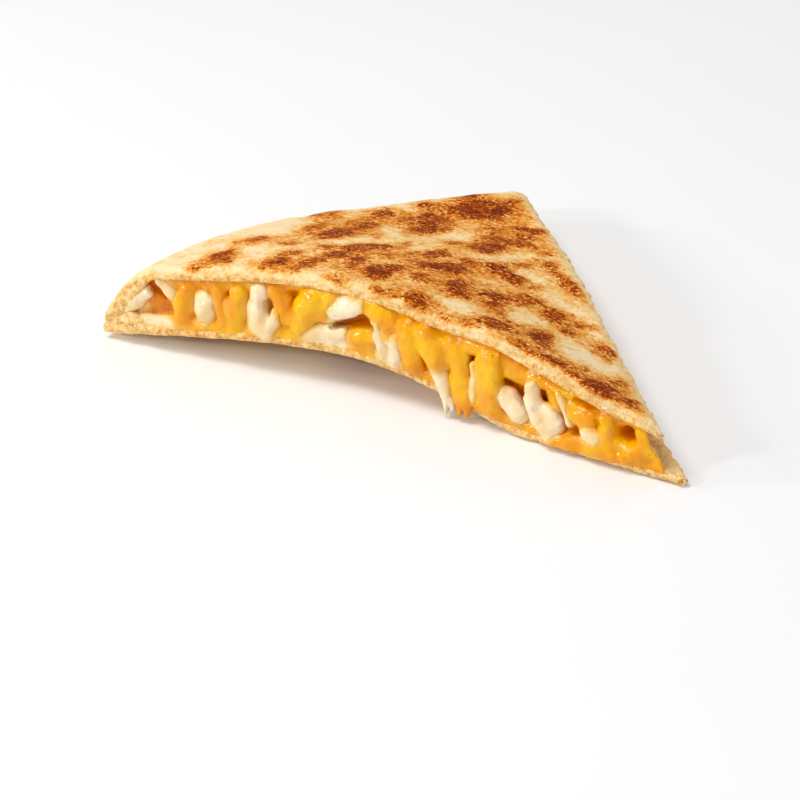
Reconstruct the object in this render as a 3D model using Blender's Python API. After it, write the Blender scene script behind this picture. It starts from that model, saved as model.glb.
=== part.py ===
"""A wedge cut from a round quesadilla: two flour tortillas with melted cheddar and white cheese between them.

The wedge is about an eighth of the round. Its long cut faces -Y with the tip towards +X, and the object
stands on its lower tortilla, with the origin under the middle of its footprint.
All sizes below are in millimetres, in a frame whose origin is the tip of the lower tortilla: a point at
distance r from the tip and angle a from the long cut is at (-r cos a, r sin a).
"""
import math
from collections import namedtuple

import bmesh
import bpy
from mathutils import Matrix, Vector

MM = 0.001

# The wedge in plan.
ROUND_RADIUS = 127.0
WEDGE_ANGLE = math.radians(47.5)
FOOTPRINT_MIDDLE = (-64.0, 46.6)
TOP_TIP_SETBACK = 5.0
CUT_BOW = 4.0
RIM_WAVE = 0.5
RIM_WAVES = 2
BLUNT_TIP = 0.012

# The layers, from the plate upwards.
TORTILLA = 2.0
CLEARANCE = 0.3
ARCH_HEIGHT = 6.8
ARCH_CREST = 74.0
ARCH_TO_TIP = 38.0
ARCH_TO_RIM = 60.0
ARCH_DEPTH = 70.0
EDGE_BULGE = 0.4

# The cheese.
CHEESE_RADIUS = 121.5
CHEESE_TIP_SETBACK = 3.0
RIM_CLOSES_FROM = 114.0
CHEESE_BULGE = 1.3
SCALLOPS = 9
SOCKET_GAP = 0.3
LUMP_DEPTH = 4.0
PROUD_OF_LONG_CUT = 1.0
PROUD_OF_SHORT_CUT = 0.4

# How finely each layer's grid is cut: along the radius, round the angle, through the thickness.
TORTILLA_STEPS = (28, 13, 2)
CHEESE_STEPS = (32, 12, 4)
RIM_CROWDING = 1.3

WHITE_CHEESE = (0.90, 0.80, 0.56, 1.0)
CHEDDAR = (0.91, 0.38, 0.02, 1.0)
TORTILLA_CREAM = (0.82, 0.62, 0.34, 1.0)

# A lump of white cheese on a cut: distance from the tip, height within the filling from 0 to 1, length,
# height and lean in degrees, positive with its rim end raised.
Lump = namedtuple("Lump", "along level length height lean")
LONG_CUT_LUMPS = (
    Lump(112.5, 0.62, 9.0, 3.4, -25),
    Lump(103.0, 0.46, 6.0, 5.0, 0),
    Lump(91.0, 0.46, 6.5, 6.8, 20),
    Lump(75.5, 0.70, 9.5, 3.6, -8),
    Lump(79.5, 0.24, 10.0, 3.2, -12),
    Lump(64.5, 0.50, 4.6, 7.2, 12),
    Lump(53.0, 0.26, 7.0, 4.2, 25),
    Lump(44.5, 0.40, 4.4, 7.0, -10),
    Lump(35.5, 0.36, 7.6, 6.0, 0),
    Lump(27.5, 0.58, 5.0, 6.4, 18),
    Lump(17.5, 0.34, 6.0, 3.0, -10),
)
SHORT_CUT_LUMPS = (
    Lump(98.0, 0.50, 9.0, 2.4, 0),
    Lump(72.0, 0.52, 12.0, 3.2, -6),
    Lump(43.0, 0.50, 10.0, 3.0, 6),
)


def smoothstep(start, end, value):
    t = min(max((value - start) / (end - start), 0.0), 1.0)
    return t * t * (3 - 2 * t)


def underside(x, y):
    """Height of the lower tortilla's underside: the wedge arches up along its long cut."""
    from_crest = -x - ARCH_CREST
    reach = ARCH_TO_RIM if from_crest > 0 else ARCH_TO_TIP
    if abs(from_crest) >= reach:
        return 0.0
    rise = math.cos(0.5 * math.pi * from_crest / reach) ** 1.2
    return ARCH_HEIGHT * rise * (1 - smoothstep(0, ARCH_DEPTH, y))


def filling(x, y):
    """Depth of the cheese: thickest behind the long cut, and closing towards the rim."""
    radius = math.hypot(x, y)
    turn = smoothstep(0, WEDGE_ANGLE, math.atan2(y, -x))
    at_long_cut = 4.4 + 2.6 * smoothstep(0, 12, radius) + 7.0 * smoothstep(6, 44, radius)
    at_long_cut -= 3.2 * smoothstep(36, 58, radius) + 0.8 * smoothstep(85, 112, radius)
    at_short_cut = 5.0 + 2.6 * smoothstep(8, 60, radius) - 1.3 * smoothstep(75, 112, radius)
    depth = at_long_cut + (at_short_cut - at_long_cut) * turn
    past = max(radius - RIM_CLOSES_FROM, 0.0) / (ROUND_RADIUS - RIM_CLOSES_FROM)
    return depth * max(1 - past * past, 0.0) ** 1.3


def slant(surface, x, y, step=0.5):
    """How much longer a plumb line through a layer is than the layer is thick, on a sloping surface."""
    along = (surface(x + step, y) - surface(x - step, y)) / (2 * step)
    across = (surface(x, y + step) - surface(x, y - step)) / (2 * step)
    return math.sqrt(1 + along * along + across * across)


def cheese_floor(x, y):
    return underside(x, y) + (TORTILLA + CLEARANCE) * slant(underside, x, y)


def cheese_ceiling(x, y):
    return cheese_floor(x, y) + filling(x, y)


def lower_tortilla_height(x, y, level):
    return underside(x, y) + level * TORTILLA * slant(underside, x, y)


def upper_tortilla_height(x, y, level):
    return cheese_ceiling(x, y) + (CLEARANCE + level * TORTILLA) * slant(cheese_ceiling, x, y)


def cheese_height(x, y, level):
    return cheese_floor(x, y) + level * filling(x, y)


def long_cut_bow(along):
    """The long cut's middle is drawn in, because that edge is arched."""
    return CUT_BOW * math.sin(math.pi * min(max(along / ROUND_RADIUS, 0), 1)) ** 2


def in_plan(tip_x, rim_radius, out, round_):
    """A point of a wedge, `out` from its tip (0) to its rim (1) and `round_` from the long cut to the short."""
    angle = WEDGE_ANGLE * round_
    spread = 1 - (1 - out) ** RIM_CROWDING
    share = BLUNT_TIP + (1 - BLUNT_TIP) * spread
    x = tip_x + (-rim_radius * math.cos(angle) - tip_x) * share
    y = rim_radius * math.sin(angle) * share
    return x, y + long_cut_bow(-x) * (1 - round_) ** 2


def rim(round_, phase):
    return ROUND_RADIUS - RIM_WAVE * (1 - math.cos(2 * math.pi * RIM_WAVES * round_ + phase))


def swell(out, round_, amount):
    """An offset in plan that pushes both cuts and the rim outwards by `amount`."""
    x = y = 0.0
    if round_ < 1e-6:
        y -= amount
    if round_ > 1 - 1e-6:
        x += amount * math.sin(WEDGE_ANGLE)
        y += amount * math.cos(WEDGE_ANGLE)
    if out > 1 - 1e-6:
        x -= amount * math.cos(WEDGE_ANGLE * round_)
        y += amount * math.sin(WEDGE_ANGLE * round_)
    return x, y


def to_world(x, y, z):
    return Vector((x - FOOTPRINT_MIDDLE[0], y - FOOTPRINT_MIDDLE[1], z)) * MM


def tortilla_point(tip_setback, phase, height):
    """A function that places a unit block's points in one tortilla, its edge slightly rounded."""
    def place(out, round_, level):
        x, y = in_plan(-tip_setback, rim(round_, phase), out, round_)
        z = height(x, y, level)
        side_x, side_y = swell(out, round_, EDGE_BULGE * (4 * level * (1 - level) - 1))
        return to_world(x + side_x, y + side_y, z)
    return place


def cheese_bulge(out, level):
    """How far a cut stands out: it swells at mid-height, in scallops where the cheese has run."""
    scallop = math.cos(2 * math.pi * SCALLOPS * out) * math.cos(7.3 * out + 3 * level)
    round_off = 4 * level * (1 - level)
    return CHEESE_BULGE * (round_off * (0.6 + 0.4 * scallop) - 0.8)


def cheese_point(out, round_, level):
    setback = CHEESE_TIP_SETBACK + (TOP_TIP_SETBACK - CHEESE_TIP_SETBACK) * level
    x, y = in_plan(-setback, CHEESE_RADIUS, out, round_)
    z = cheese_height(x, y, level)
    side_x, side_y = swell(out, round_, cheese_bulge(out, level))
    return to_world(x + side_x, y + side_y, z)


def principled(name, colour, roughness, subsurface):
    material = bpy.data.materials.new(name)
    material.use_nodes = True
    shader = material.node_tree.nodes["Principled BSDF"]
    shader.inputs["Base Color"].default_value = colour
    shader.inputs["Roughness"].default_value = roughness
    shader.inputs["Metallic"].default_value = 0.0
    shader.inputs["Subsurface Weight"].default_value = subsurface
    material.diffuse_color = colour
    return material


def add_object(name, bm, material, collection):
    mesh = bpy.data.meshes.new(name)
    bm.to_mesh(mesh)
    bm.free()
    mesh.materials.append(material)
    mesh.shade_smooth()
    mesh.set_sharp_from_angle(angle=math.radians(60))
    made = bpy.data.objects.new(name, mesh)
    collection.objects.link(made)
    return made


def add_layer(name, steps, place, material, collection):
    """A closed layer: a flat grid extruded upwards, whose points `place` then moves where they belong."""
    along, across, through = steps
    bm = bmesh.new()
    bmesh.ops.create_grid(bm, x_segments=along, y_segments=across, size=0.5)
    bmesh.ops.translate(bm, vec=(0.5, 0.5, 0), verts=bm.verts)
    sheet = bm.verts[:] + bm.edges[:] + bm.faces[:]
    for _ in range(through):
        sheet = bmesh.ops.extrude_face_region(bm, geom=sheet)["geom"]
        raised = [item for item in sheet if isinstance(item, bmesh.types.BMVert)]
        bmesh.ops.translate(bm, vec=(0, 0, 1 / through), verts=raised)
    bmesh.ops.recalc_face_normals(bm, faces=bm.faces)
    for vert in bm.verts:
        vert.co = place(*vert.co)
    # The tip is at +X and the grid runs away from it, so placing the block has mirrored it.
    bmesh.ops.reverse_faces(bm, faces=bm.faces)
    return add_object(name, bm, material, collection)


def add_lump(name, lump, cut_angle, margin, material, collection):
    """An egg-shaped lump of cheese set into a cut, `margin` larger all round than its own size."""
    bow = long_cut_bow(lump.along) if cut_angle == 0 else 0.0
    out_x = math.sin(cut_angle)
    out_y = -1.0 if cut_angle == 0 else math.cos(cut_angle)
    inset = LUMP_DEPTH / 2 - (PROUD_OF_LONG_CUT if cut_angle == 0 else PROUD_OF_SHORT_CUT)
    x = -lump.along * math.cos(cut_angle) - out_x * inset
    y = lump.along * math.sin(cut_angle) + bow - out_y * inset
    half = (lump.length / 2 + margin, LUMP_DEPTH / 2 + margin, lump.height / 2 + margin)
    bm = bmesh.new()
    bmesh.ops.create_uvsphere(bm, u_segments=12, v_segments=8, radius=MM)
    bmesh.ops.transform(bm, matrix=Matrix.Diagonal((*half, 1)), verts=bm.verts)
    made = add_object(name, bm, material, collection)
    made.location = to_world(x, y, cheese_height(x, y, lump.level))
    made.rotation_euler = (0, math.radians(lump.lean), -cut_angle)
    return made


def add_socket(cheddar, name, lump, cut_angle, collection):
    cutter = add_lump(name, lump, cut_angle, SOCKET_GAP, cheddar.data.materials[0], collection)
    cutter.hide_render = True
    cutter.display_type = "WIRE"
    socket = cheddar.modifiers.new(name, "BOOLEAN")
    socket.operation = "DIFFERENCE"
    socket.solver = "EXACT"
    socket.object = cutter


def main():
    for old in list(bpy.data.objects):
        bpy.data.objects.remove(old)
    parts = bpy.data.collections.new("quesadilla_wedge")
    cutters = bpy.data.collections.new("cutters")
    cutters.hide_render = True
    for collection in (parts, cutters):
        bpy.context.scene.collection.children.link(collection)
    tortilla = principled("tortilla", TORTILLA_CREAM, 0.7, 0.1)
    orange = principled("cheddar", CHEDDAR, 0.3, 0.3)
    white = principled("white_cheese", WHITE_CHEESE, 0.35, 0.3)
    lower = tortilla_point(0.0, 0.0, lower_tortilla_height)
    add_layer("tortilla_bottom", TORTILLA_STEPS, lower, tortilla, parts)
    upper = tortilla_point(TOP_TIP_SETBACK, 2.0, upper_tortilla_height)
    add_layer("tortilla_top", TORTILLA_STEPS, upper, tortilla, parts)
    cheddar = add_layer("cheddar", CHEESE_STEPS, cheese_point, orange, parts)
    placed = [(lump, 0.0) for lump in LONG_CUT_LUMPS]
    placed += [(lump, WEDGE_ANGLE) for lump in SHORT_CUT_LUMPS]
    for number, (lump, cut_angle) in enumerate(placed, start=1):
        add_lump(f"white_cheese_{number:02d}", lump, cut_angle, 0.0, white, parts)
        add_socket(cheddar, f"socket_{number:02d}", lump, cut_angle, cutters)


main()
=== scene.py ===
"""Looks of the quesadilla wedge: toasted tortillas with floury cut edges, and melted cheese in tongues.

Sizes are in millimetres in the tip frame: the origin is the lower tortilla's tip on the table, the long cut
runs along -X with the wedge on its +Y side. `to_world` turns them into the frame's metres.
"""
import itertools
import math
import random
from collections import namedtuple

import bmesh
import bpy
import numpy as np
import openvdb
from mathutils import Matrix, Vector


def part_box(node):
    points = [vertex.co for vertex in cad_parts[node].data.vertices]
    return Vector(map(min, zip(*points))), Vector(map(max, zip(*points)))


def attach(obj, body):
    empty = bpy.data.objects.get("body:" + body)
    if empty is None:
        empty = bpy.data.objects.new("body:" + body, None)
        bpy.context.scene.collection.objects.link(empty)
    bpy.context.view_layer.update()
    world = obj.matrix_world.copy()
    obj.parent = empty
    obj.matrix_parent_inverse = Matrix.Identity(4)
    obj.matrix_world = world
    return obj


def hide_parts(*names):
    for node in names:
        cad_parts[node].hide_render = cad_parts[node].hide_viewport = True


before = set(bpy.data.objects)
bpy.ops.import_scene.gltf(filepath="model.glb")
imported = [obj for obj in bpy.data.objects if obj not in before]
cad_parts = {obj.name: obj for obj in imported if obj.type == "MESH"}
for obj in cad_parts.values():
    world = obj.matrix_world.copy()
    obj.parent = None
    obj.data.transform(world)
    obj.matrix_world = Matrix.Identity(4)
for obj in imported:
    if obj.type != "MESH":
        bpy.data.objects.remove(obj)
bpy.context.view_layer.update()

MM = 0.001

# The wedge, as the CAD has it.
ROUND_RADIUS = 127.0
WEDGE_ANGLE = math.radians(47.5)
TOP_TIP_SETBACK = 5.0
CUT_BOW = 4.0
RIM_WAVE = 0.5
RIM_WAVES = 2
TORTILLA = 2.0
CLEARANCE = 0.3
ARCH_HEIGHT = 6.8
ARCH_CREST = 74.0
ARCH_TO_TIP = 38.0
ARCH_TO_RIM = 60.0
ARCH_DEPTH = 70.0
RIM_CLOSES_FROM = 114.0
CHEESE_RADIUS = 121.5

# Not as in the CAD: the tortillas' tips are sharper here, and the cheese has one setback at all heights.
BLUNT_TIP = 0.004
CHEESE_TIP_SETBACK = 4.5

low_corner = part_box("tortilla_bottom")[0]
TIP_WORLD = Vector((low_corner.x + ROUND_RADIUS * MM, low_corner.y, 0.0))


# ---------------------------------------------------------------- shape functions

def smoothstep(start, end, value):
    """0 at `start` and 1 at `end`, held beyond both, with a smooth change between them."""
    t = np.clip((value - start) / (end - start), 0.0, 1.0)
    return t * t * (3 - 2 * t)


def underside(x, y):
    """Height of the wedge's underside above the table: an arch under the long cut, fading out behind it."""
    from_crest = -x - ARCH_CREST
    reach = np.where(from_crest > 0, ARCH_TO_RIM, ARCH_TO_TIP)
    share = np.clip(np.abs(from_crest) / reach, 0, 1)
    rise = np.maximum(np.cos(0.5 * math.pi * share), 0) ** 1.2
    return ARCH_HEIGHT * rise * (1 - smoothstep(0, ARCH_DEPTH, y))


def filling(x, y):
    """Depth of the cheese, from the long cut round to the short one, closing to nothing at the rim."""
    radius = np.hypot(x, y)
    turn = smoothstep(0, WEDGE_ANGLE, np.arctan2(y, -x))
    at_long_cut = 4.4 + 2.6 * smoothstep(0, 12, radius) + 7.0 * smoothstep(6, 44, radius)
    at_long_cut -= 3.2 * smoothstep(36, 58, radius) + 0.8 * smoothstep(85, 112, radius)
    at_short_cut = 5.0 + 2.6 * smoothstep(8, 60, radius) - 1.3 * smoothstep(75, 112, radius)
    depth = at_long_cut + (at_short_cut - at_long_cut) * turn
    past = np.maximum(radius - RIM_CLOSES_FROM, 0.0) / (ROUND_RADIUS - RIM_CLOSES_FROM)
    return depth * np.maximum(1 - past * past, 0.0) ** 1.3


def slant(surface, x, y, step=0.5):
    """How much taller than it is thick a layer stands, where the surface that it lies on slopes."""
    along = (surface(x + step, y) - surface(x - step, y)) / (2 * step)
    across = (surface(x, y + step) - surface(x, y - step)) / (2 * step)
    return np.sqrt(1 + along * along + across * across)


def cheese_floor(x, y):
    return underside(x, y) + (TORTILLA + CLEARANCE) * slant(underside, x, y)


def cheese_ceiling(x, y):
    return cheese_floor(x, y) + filling(x, y)


def lower_tortilla_height(x, y, level):
    return underside(x, y) + level * TORTILLA * slant(underside, x, y)


def upper_tortilla_height(x, y, level):
    return cheese_ceiling(x, y) + (CLEARANCE + level * TORTILLA) * slant(cheese_ceiling, x, y)


def long_cut_bow(along):
    """How far in the long cut bows, at a distance from the tip."""
    return CUT_BOW * np.sin(math.pi * np.clip(along / ROUND_RADIUS, 0, 1)) ** 2


def short_cut_line(tip_setback):
    """Start and direction of the short cut of a layer whose tip is set back."""
    start = np.array([-tip_setback, 0.0])
    end = ROUND_RADIUS * np.array([-math.cos(WEDGE_ANGLE), math.sin(WEDGE_ANGLE)])
    return start, (end - start) / np.linalg.norm(end - start)


def edge_distance(x, y, tip_setback):
    """How far each point is from the long cut and from the short cut."""
    start, direction = short_cut_line(tip_setback)
    from_short = -(x - start[0]) * direction[1] + (y - start[1]) * direction[0]
    return y - long_cut_bow(-x), from_short


def in_plan(x, y):
    """Places in plan as an (n, 3) array of points at height 0."""
    return np.stack([x, y, 0 * x], 1)


def noise(points, size, seed=0):
    """Smooth noise from -1 to 1 at an (n, 3) array of points, with bumps about `size` millimetres across."""
    # The offset keeps cells positive and moves each seed to a place of its own. Every corner of a cell is
    # hashed into a repeatable value, and the values are blended.
    cell = points / size + 512.0 + 7.31 * seed
    base = np.floor(cell).astype(np.int64)
    part = cell - base
    part = part * part * (3 - 2 * part)
    total = np.zeros(len(points))
    for corner in itertools.product((0, 1), repeat=3):
        at = base + np.array(corner)
        mixed = (at[:, 0] * 73856093) ^ (at[:, 1] * 19349663) ^ (at[:, 2] * 83492791) ^ (seed * 911)
        mixed = ((mixed ^ (mixed >> 13)) * 1274126177) & 0x7FFFFFFF
        value = ((mixed ^ (mixed >> 15)) & 0xFFFF) / 32767.5 - 1
        weight = np.prod(np.where(corner, part, 1 - part), axis=1)
        total += value * weight
    return total


def to_world(points):
    return np.asarray(points) * MM + np.array(TIP_WORLD)


def mesh_object(name, points, faces, material):
    """A smooth-shaded object from arrays of points, in millimetres in the tip frame, and of faces."""
    mesh = bpy.data.meshes.new(name)
    mesh.from_pydata(to_world(points).tolist(), [], faces)
    mesh.materials.append(material)
    mesh.shade_smooth()
    made = bpy.data.objects.new(name, mesh)
    bpy.context.scene.collection.objects.link(made)
    return made


def paint(piece, name, values):
    layer = piece.data.attributes.new(name, "FLOAT", "POINT")
    layer.data.foreach_set("value", np.asarray(values, np.float32))


# ---------------------------------------------------------------- materials

def srgb(red, green, blue):
    """A linear colour from eight-bit values."""
    def linear(value):
        value /= 255
        return value / 12.92 if value <= 0.04045 else ((value + 0.055) / 1.055) ** 2.4
    return (linear(red), linear(green), linear(blue), 1.0)


class Shader:
    """A short way to build a node material around one Principled BSDF."""

    def __init__(self, name):
        self.material = bpy.data.materials.new(name)
        self.material.use_nodes = True
        self.tree = self.material.node_tree
        self.principled = self.tree.nodes["Principled BSDF"]
        self.place = self.add("ShaderNodeTexCoord").outputs["Object"]

    def add(self, kind, **settings):
        node = self.tree.nodes.new(kind)
        for key, value in settings.items():
            setattr(node, key, value)
        return node

    def link(self, source, target):
        self.tree.links.new(source, target)

    def put(self, value, socket):
        """Sets a socket to a constant, or links it if the value is another node's output."""
        if isinstance(value, bpy.types.NodeSocket):
            self.link(value, socket)
        else:
            socket.default_value = value

    def attribute(self, name):
        return self.add("ShaderNodeAttribute", attribute_name=name).outputs["Fac"]

    def noise(self, size_mm, detail=2.0, roughness=0.5):
        """Noise from 0 to 1 with bumps about size_mm across."""
        node = self.add("ShaderNodeTexNoise")
        self.link(self.place, node.inputs["Vector"])
        node.inputs["Scale"].default_value = 0.5 / (size_mm * MM)
        node.inputs["Detail"].default_value = detail
        node.inputs["Roughness"].default_value = roughness
        return node.outputs["Fac"]

    def cells(self, size_mm):
        """Distance to the nearest of scattered points about size_mm apart, from 0 to about 1."""
        node = self.add("ShaderNodeTexVoronoi")
        self.link(self.place, node.inputs["Vector"])
        node.inputs["Scale"].default_value = 1 / (size_mm * MM)
        return node.outputs["Distance"]

    def math(self, operation, first, second=0.0, clamp=False):
        node = self.add("ShaderNodeMath", operation=operation, use_clamp=clamp)
        self.put(first, node.inputs[0])
        self.put(second, node.inputs[1])
        return node.outputs[0]

    def swing(self, value, gain):
        """A value from 0 to 1 as a swing to either side of zero, times a gain."""
        return self.math("MULTIPLY", self.math("SUBTRACT", value, 0.5), gain)

    def ranged(self, value, start, end, low=0.0, high=1.0):
        node = self.add("ShaderNodeMapRange", interpolation_type="SMOOTHSTEP")
        self.link(value, node.inputs["Value"])
        node.inputs["From Min"].default_value = start
        node.inputs["From Max"].default_value = end
        node.inputs["To Min"].default_value = low
        node.inputs["To Max"].default_value = high
        return node.outputs["Result"]

    def mix(self, share, first, second):
        node = self.add("ShaderNodeMix", data_type="RGBA")
        self.put(share, node.inputs["Factor"])
        self.put(first, node.inputs["A"])
        self.put(second, node.inputs["B"])
        return node.outputs["Result"]

    def ramp(self, value, stops):
        node = self.add("ShaderNodeValToRGB")
        self.link(value, node.inputs["Fac"])
        stop_list = node.color_ramp.elements
        while len(stop_list) < len(stops):
            stop_list.new(0.5)
        for stop, (position, colour) in zip(stop_list, stops):
            stop.position = position
            stop.color = colour
        return node.outputs["Color"]

    def bump(self, height, depth_mm, normal=None):
        node = self.add("ShaderNodeBump")
        node.inputs["Strength"].default_value = 1.0
        node.inputs["Distance"].default_value = depth_mm * MM
        self.link(height, node.inputs["Height"])
        if normal is not None:
            self.link(normal, node.inputs["Normal"])
        return node.outputs["Normal"]

    def finish(self, colour, roughness, normal, specular=0.5, subsurface=0.0, radius_mm=(1, 1, 1)):
        sockets = self.principled.inputs
        self.put(colour, sockets["Base Color"])
        self.put(roughness, sockets["Roughness"])
        self.link(normal, sockets["Normal"])
        sockets["Specular IOR Level"].default_value = specular
        sockets["Subsurface Weight"].default_value = subsurface
        sockets["Subsurface Radius"].default_value = radius_mm
        sockets["Subsurface Scale"].default_value = MM
        return self.material


def tortilla_material():
    """Cream dough with golden halos and dark toasted centres, and a porous crumb where it is cut."""
    s = Shader("tortilla")
    toast = s.attribute("toast")
    grain = s.noise(0.42, 3.0, 0.75)
    blotch = s.noise(1.5, 3.0, 0.65)
    clouds = s.noise(6.0, 3.0, 0.55)
    browned = s.math("ADD", toast, s.swing(blotch, 0.5))
    browned = s.math("ADD", browned, s.swing(grain, s.ranged(toast, 0.02, 0.45, 0.5, 1.6)))
    flour_strength = s.ranged(toast, 0.25, 0.6, 0.0, 0.4)
    flour = s.math("MULTIPLY", s.ranged(s.noise(0.3, 1.0), 0.56, 0.7), flour_strength)
    browned = s.math("SUBTRACT", browned, flour)
    freckle_strength = s.ranged(toast, 0.03, 0.25, 0.0, 0.25)
    freckles = s.math("MULTIPLY", s.ranged(s.noise(0.9, 1.0), 0.6, 0.72), freckle_strength)
    browned = s.math("ADD", browned, freckles)
    browned = s.math("ADD", browned, s.swing(clouds, 0.3), clamp=True)
    dough = s.ramp(browned, (
        (0.0, srgb(250, 224, 176)),
        (0.13, srgb(246, 200, 128)),
        (0.30, srgb(232, 156, 62)),
        (0.47, srgb(206, 110, 24)),
        (0.66, srgb(156, 60, 4)),
        (1.0, srgb(84, 28, 2)),
    ))
    crumb = s.ramp(s.noise(0.6, 3.0, 0.65), (
        (0.30, srgb(204, 138, 58)),
        (0.46, srgb(238, 186, 108)),
        (0.64, srgb(252, 222, 164)),
    ))
    colour = s.mix(s.attribute("crumb"), dough, crumb)
    pores = s.ranged(s.cells(0.5), 0.05, 0.4)
    normal = s.bump(s.math("MULTIPLY", pores, s.attribute("crumb")), 0.2)
    normal = s.bump(grain, 0.2, normal)
    normal = s.bump(blotch, 0.2, normal)
    roughness = s.ranged(browned, 0.2, 0.9, 0.7, 0.5)
    return s.finish(colour, roughness, normal, specular=0.03, subsurface=0.05, radius_mm=(1.0, 0.5, 0.2))


def cheese_material():
    """Melted cheddar and white cheese in one glossy mass; `white` says which, and how far in from the cut it
    lies darkens the colour with painted shade.
    """
    s = Shader("melted_cheese")
    recess_shade = s.attribute("recess_shade")
    share = s.ranged(s.math("ADD", s.attribute("white"), s.swing(s.noise(1.8, 3.0), 0.7)), 0.12, 0.88)
    tint = s.noise(3.0, 2.0)
    cheddar = s.mix(s.ranged(tint, 0.35, 0.7), srgb(231, 147, 0), srgb(244, 184, 0))
    # Painted shade: both cheeses darken towards a deeper colour the farther in from the cut they lie, in the
    # recesses.
    cheddar = s.mix(s.ranged(recess_shade, 0.1, 1.0), cheddar, srgb(216, 118, 0))
    cream = s.mix(s.ranged(tint, 0.32, 0.66), srgb(248, 229, 194), srgb(240, 207, 148))
    cream = s.mix(s.ranged(recess_shade, 0.2, 0.95), cream, srgb(230, 162, 66))
    glazed = s.mix(s.ranged(share, 0.0, 0.6), cheddar, srgb(238, 184, 84))
    colour = s.mix(s.ranged(share, 0.35, 1.0), glazed, cream)
    wet = s.ranged(s.noise(2.8, 1.0), 0.36, 0.5)
    ripples = s.math("MULTIPLY", s.noise(0.75, 2.0), wet)
    normal = s.bump(s.noise(2.0, 2.0), 0.3)
    normal = s.bump(ripples, 0.4, normal)
    roughness = s.ranged(s.noise(2.0, 2.0), 0.3, 0.7, 0.06, 0.18)
    return s.finish(colour, roughness, normal, specular=0.36, subsurface=0.2, radius_mm=(1.6, 0.7, 0.12))


TORTILLA_MATERIAL = tortilla_material()
CHEESE_MATERIAL = cheese_material()


# ---------------------------------------------------------------- tortillas

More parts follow.
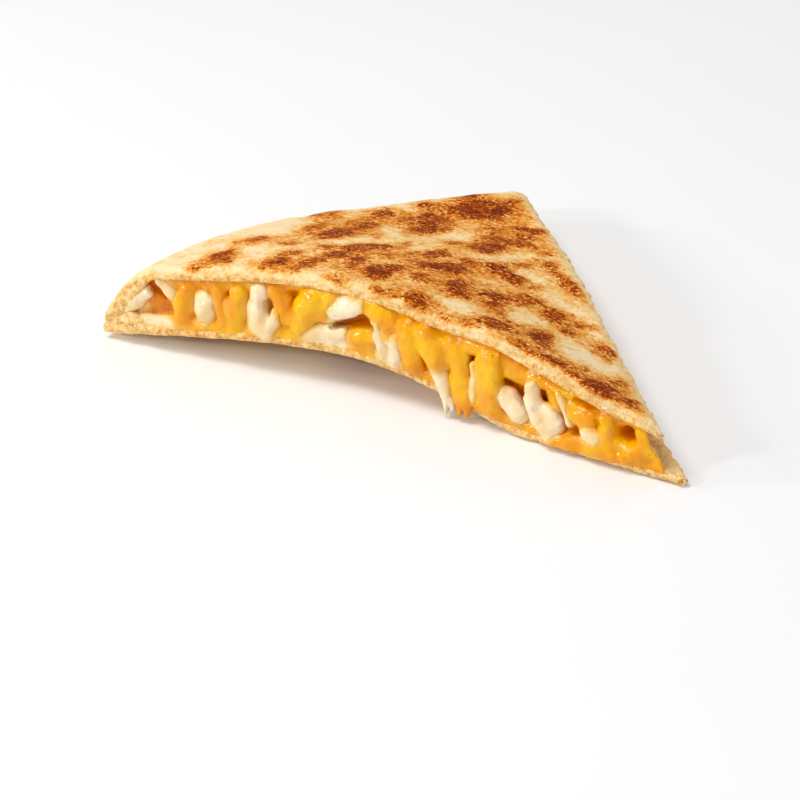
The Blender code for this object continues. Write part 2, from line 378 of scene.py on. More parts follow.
# A browned patch on the upper face: distance back from the tip and in from the long cut, its length and
# width, its lean in degrees from the inward direction towards the tip, and how dark it is.
Patch = namedtuple("Patch", "back into length width lean dark")
PATCHES = (
    # Towards the far corner.
    Patch(89.3, 83.5, 8, 2.8, -10, 0.8), Patch(86.8, 77.5, 3, 4, 0, 0.8), Patch(78.5, 79, 5, 3, 10, 0.75),
    Patch(97.6, 78.5, 9, 4, -10, 0.95), Patch(103.8, 71, 9, 4.5, -10, 0.9), Patch(81, 73, 7, 11, 0, 1.0),
    Patch(83, 67.5, 6, 11, 10, 0.95), Patch(91.7, 67, 4, 4, 0, 0.85), Patch(88, 60, 6, 4.5, 0, 0.85),
    Patch(84.3, 60, 4, 3, 0, 0.6), Patch(67, 66, 3.5, 9, 0, 0.85), Patch(66.3, 61, 3, 7, 0, 0.85),
    Patch(74, 62, 2.5, 3, 0, 0.7), Patch(109, 62.5, 5, 2, -20, 0.55), Patch(57.5, 54.3, 2.5, 2.5, 0, 0.6),
    Patch(72, 73, 5, 2, -30, 0.5), Patch(77, 69, 4, 3.5, 0, 0.8),
    # Along the rim.
    Patch(106.5, 50, 14, 5.5, -26, 0.7), Patch(113, 54.5, 5.5, 3.5, -10, 0.65),
    Patch(117.6, 39.5, 11, 2, 0, 0.6), Patch(101.3, 37, 8, 2.6, 0, 0.75), Patch(98.3, 46, 3, 2.5, 0, 0.7),
    Patch(104.5, 24.5, 3.5, 3, 0, 0.75), Patch(106, 21, 4, 4.5, 0, 0.75), Patch(98, 23, 4, 3, -20, 0.6),
    Patch(105.4, 11, 5.5, 2.8, -10, 0.85), Patch(102.6, 7.8, 4, 2.5, -30, 0.75),
    Patch(106.6, 3.2, 4, 3, 0, 0.75),
    # The middle.
    Patch(96, 56, 6.5, 4.5, 10, 0.9), Patch(90.5, 56, 6, 3, 0, 0.7), Patch(84.7, 53, 10, 5, -5, 1.0),
    Patch(81, 57, 6, 3, 0, 0.6), Patch(66.8, 56, 5, 12, 0, 0.9), Patch(67.6, 48.4, 9.5, 7, 0, 1.0),
    Patch(74, 47, 4, 3, 0, 0.7), Patch(57.6, 45, 5, 4, 0, 0.55), Patch(53.4, 48.4, 4, 3.5, 0, 0.65),
    Patch(46.5, 43, 11, 3.6, -52, 0.85), Patch(93.6, 46, 7.5, 3.6, 0, 0.9), Patch(95, 35.5, 12, 6, 8, 0.95),
    Patch(88, 39, 4, 4, 0, 0.45), Patch(79.5, 37, 6, 2.6, 0, 0.6), Patch(60, 38.5, 5, 4.5, 0, 0.9),
    Patch(55, 35.5, 5, 7.5, 10, 0.95), Patch(65, 37, 4, 3.5, 0, 0.8), Patch(71.3, 34.5, 8, 4, 0, 0.9),
    Patch(82, 31, 5.5, 4.5, 0, 0.95), Patch(64.7, 29.5, 8, 5.5, 10, 1.0), Patch(68.4, 26.5, 6, 4, 0, 0.85),
    Patch(84.5, 26.5, 6, 5.5, 0, 0.75), Patch(90, 23.5, 4, 4, 0, 0.8), Patch(77, 26, 4, 3, 0, 0.75),
    Patch(75, 30.5, 3, 3, 0, 0.6), Patch(48, 28.5, 5, 7, -40, 0.8), Patch(41.4, 27.5, 5, 4.5, 0, 0.75),
    Patch(36, 29.5, 3, 7.5, -10, 0.55), Patch(55.5, 28.5, 4, 3, 0, 0.4), Patch(50, 36.5, 3, 3, 0, 0.5),
    # Near the long cut.
    Patch(84.5, 19, 5.5, 4, 0, 0.9), Patch(79.6, 18.5, 6, 3.5, -15, 0.9), Patch(72.4, 15.5, 12, 6, 5, 1.0),
    Patch(65, 17.6, 6, 3.5, 0, 0.85), Patch(59.5, 22, 7, 3.5, 0, 0.85), Patch(56.7, 18.5, 5.5, 5, -10, 0.95),
    Patch(52.2, 23.5, 4.5, 4.5, -30, 0.85), Patch(50.5, 19.3, 5.5, 3, -15, 0.85),
    Patch(46.2, 16.5, 8, 2.6, -35, 0.5), Patch(92.5, 16, 4.5, 3.5, 0, 0.75), Patch(92.4, 9, 7, 4.5, 0, 0.95),
    Patch(85.8, 11, 9.5, 4, 5, 0.95), Patch(78.6, 12, 6, 4, 0, 0.55), Patch(76.3, 4.3, 2.6, 2.6, 0, 0.75),
    Patch(66.8, 4.8, 3.6, 3.6, 0, 0.8), Patch(60.5, 6.8, 4.6, 5.2, 20, 0.85), Patch(60, 9.6, 3, 8, 10, 0.5),
    Patch(52.6, 4.4, 3, 4, 0, 0.8), Patch(48, 3.6, 2, 2.6, 0, 0.6), Patch(44.8, 9.5, 5.5, 8, -20, 0.95),
    Patch(36.2, 12.5, 9.5, 4.4, -31, 0.95), Patch(37, 5, 5, 6.5, -10, 0.6),
    # Towards the tip.
    Patch(36, 23.5, 4, 3.6, 0, 0.95), Patch(27.5, 22.4, 4, 6, -30, 0.85), Patch(25.5, 19, 3, 3, 0, 0.55),
    Patch(30, 5, 4, 4.6, -10, 0.9), Patch(26, 8.5, 3, 2, 0, 0.65), Patch(20.5, 4.3, 6, 6.5, -20, 1.0),
    Patch(19.3, 11, 3.6, 2.8, 0, 0.75), Patch(14.2, 6.4, 4, 4, -20, 0.75), Patch(25, 3.4, 2.6, 3, 0, 0.6),
    Patch(12.2, 3.4, 2.2, 2.6, 0, 0.6),
)
CORE_BROWNING = 0.46
HALO_BROWNING = 0.27
HALO_REACH = 2.3
CORNER_ROUNDING = 2.4
NIBBLE_REACH = 1.6
EDGE_BULGE = 0.42
RIM_PRESSED_FROM = 115.5
RIM_PRESSED_TO = 122.5
# The grid's points from the tip out and from cut to cut, how much they crowd towards the rim and the long
# cut, and the rows between the two sheets.
GRID_OUT = 250
GRID_ROUND = 180
GRID_CROWDING = 1.15
EDGE_ROWS = 6


def seeded_patches(count, seed):
    """Patches scattered over the wedge for the face that lies down, in the same range of sizes."""
    draw = random.Random(seed)
    for _ in range(count):
        radius = ROUND_RADIUS * math.sqrt(draw.uniform(0.01, 0.92))
        angle = WEDGE_ANGLE * draw.uniform(0.04, 0.96)
        yield Patch(radius * math.cos(angle), radius * math.sin(angle), draw.uniform(4, 11),
                    draw.uniform(3, 6), draw.uniform(-60, 60), draw.uniform(0.5, 1.0))


def toasting(points, patches):
    """How browned each point is, from 0 to about 1: dark patches with ragged outlines and golden halos."""
    flat = points * np.array([1, 1, 0])
    x = points[:, 0] + 0.9 * noise(flat, 3.4, 1) + 0.45 * noise(flat, 1.5, 2)
    y = points[:, 1] + 0.9 * noise(flat, 3.4, 3) + 0.45 * noise(flat, 1.5, 4)
    pale = np.ones(len(points))
    for patch in patches:
        lean = math.radians(patch.lean)
        across = x + patch.back
        into = y - patch.into
        along = into * math.cos(lean) + across * math.sin(lean)
        aside = across * math.cos(lean) - into * math.sin(lean)
        reach = np.hypot(along / (0.5 * patch.length), aside / (0.5 * patch.width))
        outside = (reach - 1) * 0.5 * min(patch.length, patch.width)
        core = smoothstep(0.8, -1.0, outside)
        halo = np.exp(-(np.maximum(outside, 0) / HALO_REACH) ** 2)
        pale *= 1 - patch.dark * (CORE_BROWNING * core + HALO_BROWNING * halo)
    return 1 - pale


def plan_grid(tip_setback, phase, seed):
    """One tortilla's grid in plan, with nibbled edges: x, y, and each point's share of the way out."""
    out, turn = np.meshgrid(np.linspace(0, 1, GRID_OUT), np.linspace(0, 1, GRID_ROUND), indexing="ij")
    out, turn = out.ravel(), turn.ravel() ** GRID_CROWDING
    share = BLUNT_TIP + (1 - BLUNT_TIP) * (1 - (1 - out) ** GRID_CROWDING)
    rim = ROUND_RADIUS - RIM_WAVE * (1 - np.cos(2 * math.pi * RIM_WAVES * turn + phase))
    rim -= CORNER_ROUNDING * smoothstep(0.94, 1.0, turn) ** 2
    x = -tip_setback + (-rim * np.cos(WEDGE_ANGLE * turn) + tip_setback) * share
    y = rim * np.sin(WEDGE_ANGLE * turn) * share
    y = y + long_cut_bow(-x) * (1 - turn) ** 2
    flat = in_plan(x, y)
    nibble = 0.32 * noise(flat, 1.9, seed) + 0.16 * noise(flat, 0.9, seed + 1) - 0.08
    from_long, from_short = edge_distance(x, y, tip_setback)
    from_rim = ROUND_RADIUS - np.hypot(x, y)
    long_push, short_push, rim_push = (nibble * np.exp(-np.maximum(d, 0) / NIBBLE_REACH)
                                       for d in (from_long, from_short, from_rim))
    radius = np.maximum(np.hypot(x, y), 1.0)
    direction = short_cut_line(tip_setback)[1]
    x = x + short_push * direction[1] + rim_push * x / radius
    y = y - long_push - short_push * direction[0] + rim_push * y / radius
    return x, y, out


def perimeter(columns, rows):
    """Indices into a columns by rows grid round its edge."""
    bottom = [column * rows for column in range(columns)]
    right = [(columns - 1) * rows + row for row in range(1, rows)]
    top = [column * rows + rows - 1 for column in range(columns - 2, -1, -1)]
    left = list(range(rows - 2, 0, -1))
    return np.array(bottom + right + top + left)


def outward(flat, ring):
    """The plan's unit normals round its edge, from a few points to either side."""
    around = flat[np.roll(ring, -3)] - flat[np.roll(ring, 3)]
    normal = np.stack([-around[:, 1], around[:, 0], np.zeros(len(ring))], 1)
    normal /= np.linalg.norm(normal, axis=1)[:, None]
    return normal * np.where(((flat[ring] - flat.mean(axis=0)) * normal).sum(1) < 0, -1, 1)[:, None]


def shell_faces(count, ring):
    """Faces of the upper sheet, of the lower sheet and of the edge rows; a sheet has `count` points."""
    corner = np.arange(count).reshape(GRID_OUT, GRID_ROUND)
    quads = (corner[:-1, :-1], corner[:-1, 1:], corner[1:, 1:], corner[1:, :-1])
    upper = np.stack(quads, -1).reshape(-1, 4)
    faces = upper.tolist() + (upper[:, ::-1] + count).tolist()
    rows = [ring] + [2 * count + len(ring) * row + np.arange(len(ring)) for row in range(EDGE_ROWS)]
    rows.append(ring + count)
    for above, below in zip(rows, rows[1:]):
        faces += np.stack([above, np.roll(above, -1), np.roll(below, -1), below], -1).tolist()
    return faces


def swelling(flat, toast, seed):
    """How far the outer face rises: broad waves, small bumps, and blisters where it is browned."""
    rise = (0.28 * noise(flat, 11.0, seed) + 0.16 * noise(flat, 4.0, seed + 1)
            + 0.05 * noise(flat, 1.2, seed + 2))
    return rise + 0.22 * smoothstep(0.3, 0.8, toast)


def shoulder_fall(from_long, from_short, from_rim):
    """How far the outer face falls where it rounds over to the cuts and the rim."""
    fall = 0.9 * np.exp(-(from_long / 1.3) ** 2) + 0.6 * np.exp(-(from_short / 1.0) ** 2)
    return np.minimum(fall + 0.5 * np.exp(-(from_rim / 1.6) ** 2), 1.1)


def closing_shift(flat, from_cut, from_tip):
    """How far the inner face moves into the filling: all the way at the pressed rim, a little at the cuts.

    At the tip it moves the other way.
    """
    x, y = flat[:, 0], flat[:, 1]
    pressed = smoothstep(RIM_PRESSED_FROM, RIM_PRESSED_TO, np.hypot(x, y) + noise(flat, 6.0, 40))
    shift = 0.5 * pressed * (filling(x, y) + 2 * CLEARANCE + 0.3)
    shift += 0.3 * np.exp(-(from_cut / 1.5) ** 2) * (1 - pressed)
    return shift - 0.7 * np.exp(-(from_tip / 3.0) ** 2)


def edge_rows(top, bottom, normal, seed):
    """Rows of points between the two sheets' edges, which bulge out with a rough, crumbly surface."""
    for row in range(1, EDGE_ROWS + 1):
        level = row / (EDGE_ROWS + 1)
        fullness = math.sin(math.pi * level) ** 0.7
        spot = top * (1 - level) + bottom * level
        rough = 0.26 * noise(spot, 1.2, seed + 5) + 0.2 * noise(spot, 0.6, seed + 6)
        yield spot + normal * (fullness * (EDGE_BULGE + rough))[:, None]


def paint_sheets(piece, name, face_up, outer, inner, edge):
    """Paints an attribute in the order of the points: the upper sheet, the lower sheet, the edge rows."""
    paint(piece, name, np.concatenate([outer, inner, edge] if face_up else [inner, outer, edge]))


def tortilla(name, node, tip_setback, phase, height, face_up, patches, seed):
    """One tortilla: two fine sheets, and between them a rounded, crumbly edge of several rows."""
    x, y, out = plan_grid(tip_setback, phase, seed)
    flat = in_plan(x, y)
    count = x.size
    from_long, from_short = edge_distance(x, y, tip_setback)
    from_cut = np.minimum(from_long, from_short)
    from_rim = ROUND_RADIUS - np.hypot(x, y)
    toast = toasting(flat, patches)
    fall = shoulder_fall(from_long, from_short, from_rim)
    closing = closing_shift(flat, from_cut, np.hypot(x + tip_setback, y))
    top = np.stack([x, y, height(x, y, 1.0)], 1)
    bottom = np.stack([x, y, height(x, y, 0.0)], 1)
    if face_up:
        top[:, 2] += swelling(flat, toast, seed) - fall
        bottom[:, 2] -= closing
    else:
        top[:, 2] += closing
        bottom[:, 2] += 0.1 + 0.35 * fall + 0.06 * noise(flat, 3.0, seed)
    ring = perimeter(GRID_OUT, GRID_ROUND)
    edge = np.concatenate(list(edge_rows(top[ring], bottom[ring], outward(flat, ring), seed)))
    made = mesh_object(name, np.concatenate([top, bottom, edge]), shell_faces(count, ring), TORTILLA_MATERIAL)
    outer_toast = toast * smoothstep(-0.4, 1.8, from_cut + 0.8 * noise(flat, 2.0, seed))
    outer_toast = np.maximum(outer_toast, 0.3 * smoothstep(2.0, 0.2, from_rim))
    edge_toast = 0.16 + 0.12 * noise(edge, 3.0, seed)
    paint_sheets(made, "toast", face_up, outer_toast, np.full(count, 0.06), edge_toast)
    outer_crumb = 0.6 * np.exp(-(from_cut / 0.8) ** 2)
    edge_crumb = np.tile(np.where(out[ring] > 0.999, 0.35, 0.9), EDGE_ROWS)
    paint_sheets(made, "crumb", face_up, outer_crumb, np.full(count, 0.55), edge_crumb)
    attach(made, "root")
    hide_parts(node)


# ---------------------------------------------------------------- cheese

ORANGE, WHITE = "orange", "white"
# A tongue of melted cheese on the long cut: its kind, how far it stands out of the cut, and its line as
# distance from the tip, height above the table and radius.
Tongue = namedtuple("Tongue", "kind proud line")
LONG_CUT_TONGUES = (
    # By the rim: a slanting hollow with a white roll in it, then the first lobes.
    Tongue(WHITE, 0.2, ((121.6, 7.2, 0.9), (119.4, 9.6, 1.4), (117.0, 11.8, 1.2))),
    Tongue(ORANGE, -1.6, ((119.4, 7.4, 1.2), (115.6, 10.0, 2.0), (112.6, 12.0, 1.8))),
    Tongue(WHITE, 0.0, ((114.2, 14.6, 1.0), (112.4, 13.4, 1.3), (110.8, 12.2, 1.0))),
    Tongue(WHITE, -0.3, ((121.4, 5.4, 0.8), (116.4, 6.0, 1.1), (111.6, 6.8, 1.1))),
    Tongue(ORANGE, -0.6, ((112.0, 15.2, 1.4), (104.0, 16.2, 1.8), (96.0, 17.0, 1.8))),
    Tongue(ORANGE, 0.6, ((108.0, 14.2, 1.9), (108.8, 11.2, 2.4), (109.2, 8.0, 2.2))),
    Tongue(WHITE, 1.1, ((104.0, 12.6, 2.3), (104.0, 10.2, 2.5))),
    Tongue(WHITE, -0.2, ((105.4, 7.6, 1.0), (102.4, 7.6, 1.2))),
    Tongue(ORANGE, 0.3, ((101.2, 15.0, 1.6), (100.6, 11.4, 1.5), (100.2, 8.0, 1.5))),
    Tongue(WHITE, 0.5, ((98.9, 12.8, 1.0), (98.7, 11.0, 1.1))),
    Tongue(ORANGE, 0.9, ((96.9, 15.2, 1.9), (97.0, 12.2, 2.2), (97.4, 9.0, 2.0))),
    Tongue(WHITE, 1.1, ((92.0, 16.8, 2.0), (92.6, 13.4, 2.3), (92.4, 10.0, 2.3), (90.6, 8.6, 1.7))),
    Tongue(WHITE, 1.1, ((90.9, 9.0, 1.7), (89.0, 11.0, 1.6), (88.4, 12.8, 1.2))),
    Tongue(ORANGE, 0.3, ((88.8, 17.2, 1.8), (87.4, 15.4, 2.0), (86.4, 11.8, 1.8))),
    Tongue(ORANGE, -0.1, ((89.4, 8.0, 1.0), (86.0, 8.6, 1.4), (83.6, 9.0, 1.2))),
    # Over the crest: the biggest lobes, and the arch-shaped hollow.
    Tongue(ORANGE, 1.6, ((80.8, 17.6, 2.7), (82.0, 14.8, 3.0), (83.6, 11.4, 1.9))),
    Tongue(ORANGE, 0.9, ((77.6, 18.2, 2.3), (78.8, 15.2, 2.3))),
    Tongue(WHITE, 1.3, ((75.6, 16.4, 2.4), (72.8, 17.4, 2.2), (70.0, 18.6, 1.5))),
    Tongue(ORANGE, 0.2, ((77.6, 14.0, 0.9), (74.0, 14.8, 0.8))),
    Tongue(WHITE, 0.8, ((82.6, 10.0, 1.1), (79.6, 11.0, 1.5), (76.8, 11.7, 1.6), (74.0, 12.1, 1.6))),
    Tongue(WHITE, -0.1, ((84.0, 8.8, 0.9), (77.0, 9.3, 1.1), (72.2, 9.2, 0.9))),
    Tongue(ORANGE, 1.0, ((71.4, 11.6, 2.2), (69.2, 11.8, 2.5))),
    Tongue(ORANGE, -0.1, ((71.4, 8.6, 0.9), (67.0, 8.2, 1.0))),
    Tongue(ORANGE, 0.8, ((72.0, 19.2, 1.2), (67.8, 18.2, 1.9), (64.2, 16.4, 2.4), (64.2, 13.2, 1.6))),
    Tongue(WHITE, 1.0, ((66.8, 16.0, 0.9), (66.2, 12.6, 1.2), (65.4, 9.2, 1.5))),
    Tongue(WHITE, 1.0, ((62.9, 13.8, 0.8), (63.0, 11.2, 1.2), (63.0, 8.4, 1.5))),
    Tongue(ORANGE, 1.7, ((60.4, 15.6, 2.4), (59.8, 12.8, 2.8), (59.0, 9.4, 2.3))),
    Tongue(ORANGE, 2.1, ((56.0, 16.0, 2.5), (54.8, 13.6, 3.3), (53.6, 11.2, 2.8))),
    Tongue(ORANGE, 0.9, ((50.8, 15.4, 2.3), (50.0, 12.4, 2.4))),
    Tongue(WHITE, 1.8, ((53.2, 9.6, 1.9), (52.1, 6.4, 1.6), (51.0, 3.2, 0.8))),
    Tongue(ORANGE, 1.5, ((48.8, 13.0, 2.0), (48.4, 8.4, 2.3), (47.7, 4.4, 1.8))),
    # Towards the tip: ridges that run over the lower tortilla's edge.
    Tongue(ORANGE, 0.0, ((49.0, 15.6, 1.7), (42.0, 15.0, 1.8), (35.0, 13.6, 1.6))),
    Tongue(WHITE, 1.3, ((45.4, 12.6, 0.7), (45.1, 9.4, 1.0), (45.2, 5.8, 1.0))),
    Tongue(ORANGE, 1.4, ((43.4, 14.0, 1.7), (43.2, 9.0, 1.8), (43.6, 4.6, 1.8))),
    Tongue(ORANGE, 1.8, ((40.9, 14.2, 1.8), (41.0, 9.0, 2.1), (41.2, 4.6, 2.0))),
    Tongue(ORANGE, -0.2, ((38.2, 12.4, 1.8), (35.0, 11.6, 1.7))),
    Tongue(WHITE, 1.4, ((37.8, 7.6, 2.0), (35.8, 5.0, 2.3))),
    Tongue(ORANGE, -0.1, ((35.4, 13.0, 1.5), (29.0, 12.0, 1.3))),
    Tongue(WHITE, 1.6, ((32.6, 11.2, 1.3), (32.4, 8.4, 1.6), (31.0, 5.2, 1.7), (28.6, 2.8, 1.4))),
    Tongue(WHITE, 0.9, ((29.4, 7.0, 1.6), (27.6, 5.0, 2.0))),
    Tongue(ORANGE, -0.2, ((28.8, 10.4, 1.7), (27.4, 8.6, 1.8))),
    Tongue(WHITE, 0.9, ((26.9, 11.6, 0.55), (25.4, 9.4, 0.65), (24.2, 6.8, 0.9))),
    Tongue(ORANGE, -0.1, ((28.0, 12.0, 1.2), (21.0, 11.0, 1.3), (15.0, 10.2, 1.1))),
    Tongue(ORANGE, 0.9, ((23.4, 8.8, 2.1), (20.6, 7.8, 2.3))),
    Tongue(ORANGE, 1.5, ((28.0, 2.0, 1.0), (24.0, 2.6, 1.9), (18.0, 3.0, 1.8), (12.0, 3.0, 1.2))),
    Tongue(WHITE, 1.5, ((20.0, 5.6, 1.3), (18.4, 4.6, 1.5))),
    Tongue(ORANGE, 1.0, ((16.8, 8.6, 1.7), (16.0, 6.2, 2.1), (15.4, 4.2, 1.7))),
    Tongue(ORANGE, 0.8, ((13.0, 4.8, 1.8), (9.8, 4.2, 1.8))),
    Tongue(ORANGE, 0.4, ((9.6, 8.6, 1.1), (8.6, 6.8, 1.5), (7.6, 4.2, 1.5))),
    Tongue(WHITE, 0.5, ((10.8, 3.4, 0.6), (9.2, 3.8, 0.7))),
    Tongue(ORANGE, 0.0, ((7.0, 4.4, 1.2), (5.4, 3.4, 0.9), (4.4, 2.8, 0.5))),
)
# Drips that hang below the lower tortilla's edge.
DRIPS = (
    Tongue(WHITE, 1.3, ((51.4, 3.6, 0.8), (51.5, 2.0, 0.5), (51.3, 0.9, 0.25))),
    Tongue(WHITE, 1.1, ((50.2, 3.4, 0.7), (50.0, 1.9, 0.35), (50.1, 1.1, 0.2))),
    Tongue(ORANGE, 1.2, ((48.6, 3.6, 0.9), (48.3, 1.9, 0.5), (48.4, 1.0, 0.25))),
    Tongue(ORANGE, 1.1, ((46.8, 3.2, 0.8), (46.7, 1.9, 0.4))),
)
# Hollows in the long cut: how deep they go, and their line as distance from the tip, height and radius.
Hollow = namedtuple("Hollow", "depth line")
HOLLOWS = (
    Hollow(2.8, ((76.4, 13.0, 0.4), (73.4, 14.2, 0.8), (70.4, 15.0, 1.0), (67.6, 14.6, 0.9))),
    Hollow(3.8, ((12.6, 7.4, 1.9), (12.1, 7.0, 1.8))),
    Hollow(2.2, ((90.2, 14.6, 0.8), (90.0, 13.0, 0.6))),
    Hollow(3.2, ((115.8, 12.4, 0.8), (113.2, 11.6, 0.8))),
    Hollow(1.6, ((23.4, 11.3, 0.5), (20.8, 11.0, 0.7), (18.6, 10.4, 0.5))),
)
# A hollow is cut as copies of its line at these shares of its depth, narrowing as they go in.
HOLLOW_STEPS = (-0.25, 0.0, 0.35, 0.7)
HOLLOW_TAPER = 0.4

# The grid of distances: its cell, its corners, and the distance that stands for "no cheese near".
VOXEL = 0.3
GRID_LOW = np.array([-128.0, -3.5, 0.2])
GRID_HIGH = np.array([2.0, 97.0, 22.4])
FAR = 4.0
# How wide the fillets are between tongues, between the two kinds, and between tongues and core.
TONGUE_BLEND = 0.5
KIND_BLEND = 1.1
CORE_BLEND = 1.6
# How far the tongues are bent, and how far beyond a tongue its distances are still worked out.
WARP = 0.55
TONGUE_MARGIN = 1.9
# The core stands back from the cuts. The overlaps are how far the core, and all of the cheese, pass the floor
# and ceiling of their room. At the pressed rim the tortillas close over the cheese without pushing it back,
# so there it lies inside them.
CORE_INSET = 2.6
CORE_OVERLAP = 0.3
CHEESE_OVERLAP = 0.5
# Cheese is made only this far in from the nearer cut. Behind it the wedge is empty, where nothing shows.
BAND_DEPTH = 7.5
# How far the cheese draws back from the short cut at the tip, most of all under the upper tortilla.
TIP_DRAW_BACK = 2.6
# Where the two cheeses' balance is read round a point, so that their colours run into one another.
COLOUR_REACH = 1.6
COLOUR_SPREAD = COLOUR_REACH * np.array([
    (0, 0, 0), (1, 0, 0), (-1, 0, 0), (0, 0, 1), (0, 0, -1), (0, 0.8, 0),
])


def films():
    """Thin runs of cheese on both tortillas' inner faces, which close the cut at its top and bottom."""
    for kind, start, end in ((WHITE, 122, 108), (ORANGE, 108, 85), (WHITE, 85, 61), (ORANGE, 61, 7)):
        spots = [(s, long_cut_bow(s)) for s in range(start, end - 1, -2)]
        yield Tongue(kind, -0.1, [(s, float(cheese_floor(-s, bow)) + 0.3, 0.8) for s, bow in spots])
    spots = [(s, long_cut_bow(s)) for s in range(113, 8, -3)]
    yield Tongue(ORANGE, -1.0, [(s, float(cheese_ceiling(-s, bow)) - 0.8, 1.3) for s, bow in spots])


def short_cut_tongues():
    """Tongues for the cut that faces away: the same mix of kinds and sizes, drawn with a fixed seed."""
    draw = random.Random(11)
    along = 14.0
    while along < 112:
        kind = WHITE if draw.random() < 0.42 else ORANGE
        width = draw.uniform(1.1, 2.2)
        lean = draw.uniform(-2.2, 2.2)
        top = draw.uniform(0.62, 0.92)
        foot = draw.uniform(0.12, 0.3)
        middle = 0.5 * (top + foot)
        line = ((along + lean, top, width * 0.9), (along, middle, width), (along - lean, foot, width))
        yield Tongue(kind, draw.uniform(-0.4, 0.6), line)
        along += width * draw.uniform(1.35, 2.1)


class Field:
    """A grid of signed distances, in millimetres, negative inside the cheese."""

    def __init__(self):
        self.size = np.ceil((GRID_HIGH - GRID_LOW) / VOXEL).astype(int)
        self.axes = [GRID_LOW[i] + VOXEL * np.arange(self.size[i]) for i in range(3)]

    def blank(self):
        """A grid with no cheese in it."""
        return np.full(self.size, FAR, np.float32)

    def window(self, points, reach):
        """The part of the grid within reach of the points: its slices, and its cells' places."""
        low = np.clip(((points.min(0) - reach - GRID_LOW) / VOXEL).astype(int), 0, self.size)
        high = np.clip(((points.max(0) + reach - GRID_LOW) / VOXEL).astype(int) + 2, 0, self.size)
        cut = tuple(slice(a, b) for a, b in zip(low, high))
        x, y, z = (axis[part] for axis, part in zip(self.axes, cut))
        return cut, np.meshgrid(x, y, z, indexing="ij")

    def chain(self, values, points, radii, combine):
        """Adds round cones through the points to the grid with `combine`, bent so that none is regular."""
        for first, second, r1, r2 in zip(points, points[1:], radii, radii[1:]):
            ends = np.array([first, second])
            cut, (x, y, z) = self.window(ends, max(r1, r2) + TONGUE_MARGIN)
            spots = np.stack([x.ravel(), y.ravel(), z.ravel()], 1)
            x = x + WARP * noise(spots, 3.6, 71).reshape(x.shape)
            z = z + WARP * noise(spots, 3.0, 72).reshape(x.shape)
            line = second - first
            share = ((x - first[0]) * line[0] + (y - first[1]) * line[1] + (z - first[2]) * line[2])
            share = np.clip(share / (line @ line), 0, 1)
            gap = np.sqrt((x - first[0] - share * line[0]) ** 2 + (y - first[1] - share * line[1]) ** 2
                          + (z - first[2] - share * line[2]) ** 2)
            values[cut] = combine(values[cut], (gap - (r1 + (r2 - r1) * share)).astype(np.float32))


def fillet(first, second, width):
    """How much a smooth union of two fields adds where they meet."""
    near = np.maximum(width - np.abs(first - second), 0)
    return near * near * 0.25 / width


def smooth_union(first, second, width=TONGUE_BLEND):
    return np.minimum(first, second) - fillet(first, second, width)


def smooth_cut(solid, hollow):
    return -smooth_union(-solid, hollow)


def long_cut_place(along, height, radius, proud):
    """A point of a tongue on the long cut, from its distance from the tip and its height above the table."""
    return np.array([-along, long_cut_bow(along) + radius - proud, height])


def short_cut_place(along, level, radius, proud):
    """A point of a tongue on the short cut, from its distance from the tip and its level in the filling."""
    start, direction = short_cut_line(CHEESE_TIP_SETBACK)
    inward = np.array([-direction[1], direction[0]])
    x, y = start + direction * along + inward * (radius - proud)
    edge_x, edge_y = start + direction * along + inward
    height = cheese_floor(edge_x, edge_y) + level * filling(edge_x, edge_y)
    return np.array([x, y, float(height)])


def sampled(values, points):
    """The grid's value at each point, by linear interpolation."""
    cell = (points - GRID_LOW) / VOXEL
    base = np.clip(np.floor(cell).astype(int), 0, np.array(values.shape) - 2)
    part = cell - base
    total = np.zeros(len(points))
    for corner in itertools.product((0, 1), repeat=3):
        at = base + np.array(corner)
        weight = np.prod(np.where(corner, part, 1 - part), axis=1)
        total += weight * values[at[:, 0], at[:, 1], at[:, 2]]
    return total


def tongue_fields(field):
    """The tongues, drips and films of both kinds, each kind in a grid of its own."""
    kinds = {ORANGE: field.blank(), WHITE: field.blank()}
    on_long_cut = itertools.chain(LONG_CUT_TONGUES, DRIPS, films())
    for place, tongues in ((long_cut_place, on_long_cut), (short_cut_place, short_cut_tongues())):
        for tongue in tongues:
            points = [place(*node, tongue.proud) for node in tongue.line]
            radii = [node[2] for node in tongue.line]
            field.chain(kinds[tongue.kind], points, radii, smooth_union)
    return kinds


# The room between the tortillas, over the whole grid: height above the table, floor, ceiling, share of the
# way up, distances from the tip, from the short cut and from the nearer cut, and noise that shifts the core.
Room = namedtuple("Room", "z floor ceiling level from_tip from_short depth wander")


def room_for_cheese(field):
    x, y = np.meshgrid(field.axes[0], field.axes[1], indexing="ij")
    z = field.axes[2][None, None, :]
    floor, ceiling = cheese_floor(x, y)[..., None], cheese_ceiling(x, y)[..., None]
    level = (z - floor) / np.maximum(ceiling - floor, 1.0)
    from_long, from_short = edge_distance(x, y, CHEESE_TIP_SETBACK)
    depth = np.minimum(from_long, from_short)[..., None]
    wander = noise(in_plan(x.ravel(), y.ravel()), 5.0, 21).reshape(x.shape)[..., None]
    return Room(z, floor, ceiling, level, np.hypot(x, y)[..., None], from_short[..., None], depth, wander)


def core_field(room):
    """The smooth core of cheddar behind the tongues."""
    inset = CORE_INSET * (smoothstep(-0.1, 0.35, room.level) - 0.3 * smoothstep(0.75, 1.0, room.level))
    core = np.maximum(room.floor - CORE_OVERLAP - room.z, room.z - room.ceiling - CORE_OVERLAP)
    core = np.maximum(core, inset + 0.5 * room.wander - room.depth)
    return np.maximum(core, room.from_tip - CHEESE_RADIUS).astype(np.float32)


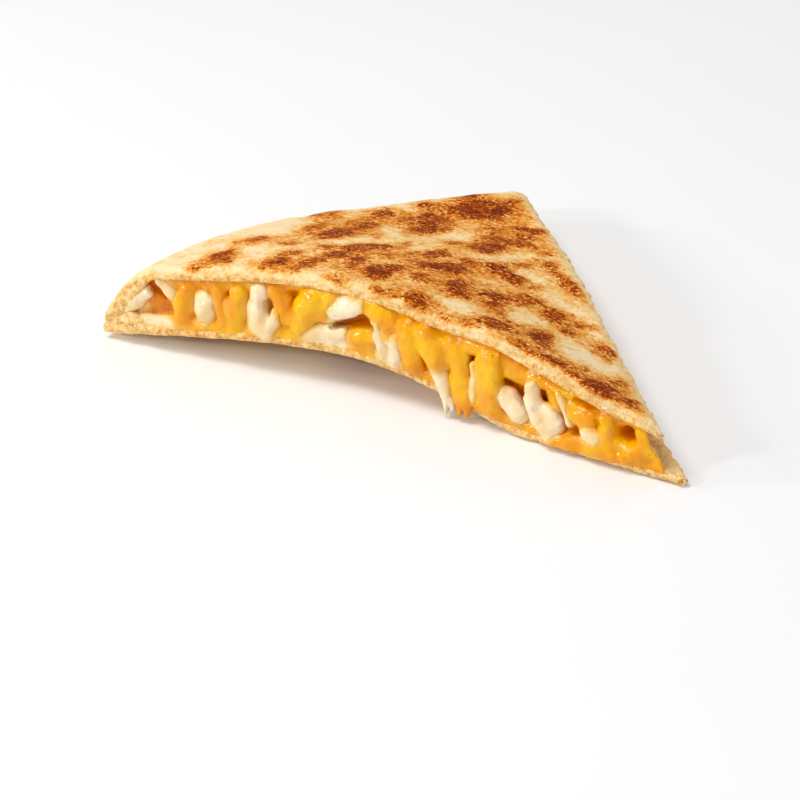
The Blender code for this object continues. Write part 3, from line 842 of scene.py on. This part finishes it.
def cheese_limits(room):
    """Positive where no cheese is: well past floor or ceiling, far behind both cuts, past the short cut."""
    limits = np.maximum(room.z - room.ceiling - CHEESE_OVERLAP, room.depth - BAND_DEPTH)
    limits = np.maximum(limits, np.where(room.depth > 0.4, room.floor - CHEESE_OVERLAP - room.z, -FAR))
    past_short_cut = -room.from_short - 0.1 - 1.6 * smoothstep(14, 30, room.from_tip)
    draw_back = TIP_DRAW_BACK * (1 - smoothstep(8, 20, room.from_tip)) * smoothstep(0.1, 1.0, room.level)
    return np.maximum(limits, past_short_cut + draw_back)


def carve_hollows(field, values):
    """Cuts the hollows of the long cut into one kind's grid."""
    for hollow in HOLLOWS:
        for share in HOLLOW_STEPS:
            width = 1 - HOLLOW_TAPER * max(share, 0)
            inner = [(along, height, radius * width) for along, height, radius in hollow.line]
            points = [long_cut_place(*node, node[2] - share * hollow.depth) for node in inner]
            field.chain(values, points, [node[2] for node in inner], smooth_cut)


def cheese_fields():
    """Both kinds' fields, filleted where they meet, and their balance, positive where white is nearer."""
    field = Field()
    kinds = tongue_fields(field)
    room = room_for_cheese(field)
    kinds[ORANGE] = smooth_union(kinds[ORANGE], core_field(room), CORE_BLEND)
    joint = fillet(kinds[ORANGE], kinds[WHITE], KIND_BLEND)
    balance = kinds[ORANGE] - kinds[WHITE]
    limits = cheese_limits(room)
    for kind in kinds:
        values = kinds[kind] - joint
        carve_hollows(field, values)
        kinds[kind] = np.maximum(values, limits).astype(np.float32)
    return kinds, balance


def melted_cheese(name, nodes, values, balance):
    """One of the two cheeses, as the closed surface of its field."""
    grid = openvdb.FloatGrid(background=FAR)
    grid.copyFromArray(np.ascontiguousarray(values))
    points, triangles, quads = grid.convertToPolygons(isovalue=0.0, adaptivity=0.2)
    points = points.astype(float) * VOXEL + GRID_LOW
    made = mesh_object(name, points, triangles.tolist() + quads.tolist(), CHEESE_MATERIAL)
    readings = [smoothstep(-COLOUR_REACH, COLOUR_REACH, sampled(balance, points + offset))
                for offset in COLOUR_SPREAD]
    paint(made, "white", np.mean(readings, axis=0))
    # Painted shade: how far each point lies in from the nearer cut, which darkens the colour of the recesses.
    depth = np.minimum(*edge_distance(points[:, 0], points[:, 1], CHEESE_TIP_SETBACK))
    paint(made, "recess_shade", smoothstep(-0.2, 2.6, depth))
    normals = np.empty(len(points) * 3, np.float32)
    made.data.vertices.foreach_get("normal", normals)
    lumps = 0.2 * noise(points, 2.0, 61) + 0.09 * noise(points, 0.9, 62)
    moved = points + normals.reshape(-1, 3) * lumps[:, None]
    made.data.vertices.foreach_set("co", to_world(moved).astype(np.float32).ravel())
    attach(made, "root")
    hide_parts(*nodes)


# ---------------------------------------------------------------- stage

CAMERA_FROM_TIP = (209.33, -462.54, 265.2)
AIM_FROM_TIP = (-61.31, 3.30, 1.1)
CAMERA_LENS = 142.7
WORLD_LIGHT = 0.40
# Each softbox: its name, its place and its side in metres, and its watts.
SOFTBOXES = (
    ("front_sparkle", (-0.42, -0.74, 0.36), 0.09, 1.7),
    ("left_sparkle", (-0.80, -0.45, 0.28), 0.09, 1.5),
    ("key", (-0.25, -0.30, 0.85), 0.45, 4.7),
    ("fill", (0.55, -0.75, 0.35), 0.50, 0.5),
    ("back", (0.1, 0.8, 0.6), 0.5, 0.9),
)


def camera():
    data = bpy.data.cameras.new("camera")
    data.lens = CAMERA_LENS
    data.sensor_width = 36.0
    data.clip_start = 0.01
    made = bpy.data.objects.new("camera", data)
    made.location = Vector(to_world(CAMERA_FROM_TIP))
    aim = Vector(to_world(AIM_FROM_TIP))
    made.rotation_euler = (aim - made.location).to_track_quat("-Z", "Y").to_euler()
    bpy.context.scene.collection.objects.link(made)
    bpy.context.scene.camera = made


def softbox(name, place, size, watts):
    data = bpy.data.lights.new(name, "AREA")
    data.size = size
    data.energy = watts
    made = bpy.data.objects.new(name, data)
    made.location = place
    made.rotation_euler = (-Vector(place)).to_track_quat("-Z", "Y").to_euler()
    bpy.context.scene.collection.objects.link(made)


def studio():
    s = Shader("pale_floor")
    colour = s.mix(s.noise(40.0), srgb(250, 250, 250), srgb(247, 247, 247))
    material = s.finish(colour, 0.8, s.bump(s.noise(1.5), 0.01))
    bm = bmesh.new()
    bmesh.ops.create_grid(bm, x_segments=8, y_segments=8, size=4.0)
    mesh = bpy.data.meshes.new("floor")
    bm.to_mesh(mesh)
    bm.free()
    mesh.materials.append(material)
    floor = bpy.data.objects.new("floor", mesh)
    bpy.context.scene.collection.objects.link(floor)
    world = bpy.data.worlds.new("studio")
    world.use_nodes = True
    background = world.node_tree.nodes["Background"].inputs
    background["Color"].default_value = (1.0, 1.0, 1.0, 1.0)
    background["Strength"].default_value = WORLD_LIGHT
    bpy.context.scene.world = world
    for box in SOFTBOXES:
        softbox(*box)
    bpy.context.scene.view_settings.view_transform = "Standard"


camera()
tortilla("toasted_top", "tortilla_top", TOP_TIP_SETBACK, 2.0, upper_tortilla_height, True, PATCHES, 30)
tortilla("toasted_bottom", "tortilla_bottom", 0.0, 0.0, lower_tortilla_height, False,
         tuple(seeded_patches(60, 5)), 50)
cheeses, cheese_balance = cheese_fields()
white_nodes = [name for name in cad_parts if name.startswith("white_cheese")]
melted_cheese("melted_cheddar", ["cheddar"], cheeses[ORANGE], cheese_balance)
melted_cheese("melted_white_cheese", white_nodes, cheeses[WHITE], cheese_balance)
studio()
